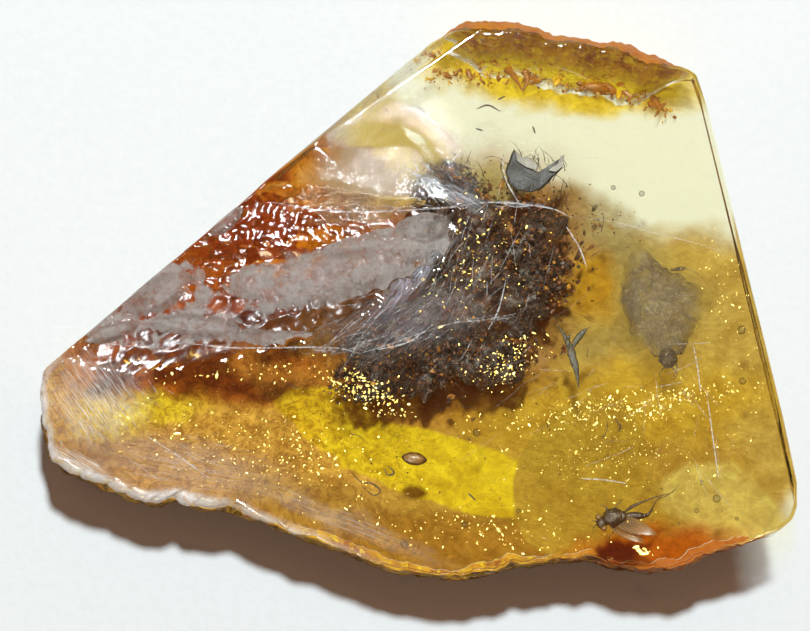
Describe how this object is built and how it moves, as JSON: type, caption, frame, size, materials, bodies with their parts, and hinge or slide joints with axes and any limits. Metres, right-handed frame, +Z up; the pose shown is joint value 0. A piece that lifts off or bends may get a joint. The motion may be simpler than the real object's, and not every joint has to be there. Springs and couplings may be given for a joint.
{
  "type": "insect in amber",
  "caption": "Polished slab of clear amber with two sawn edges and two crusted edges, holding a small fly, a broad insect and dark plant debris; lies flat as a display specimen.",
  "frame": {"origin": "middle of the slab's box, at its flat underside", "axes": "+X along the slab's length toward the fly's end, +Y across it toward the crusted back edge, +Z up out of the polished top"},
  "size_m": [0.0302, 0.0224, 0.005],
  "materials": {
    "amber": "polished clear amber with a rough brown crust on its natural edges",
    "debris": "dark crumbled plant matter",
    "leaf": "black carbonised leaf",
    "fleck": "dark carbonised plant fleck",
    "seed": "satin brown seed coat",
    "fly": "dark insect cuticle",
    "broad_insect": "grey-brown insect cuticle"
  },
  "bodies": {
    "root": {"amber_upper": "amber", "amber_lower": "amber", "debris_clump": "debris", "leaf_scrap": "leaf", "forked_fleck": "fleck", "seed": "seed", "fly": "fly", "broad_insect": "broad_insect"}
  },
  "joints": []
}
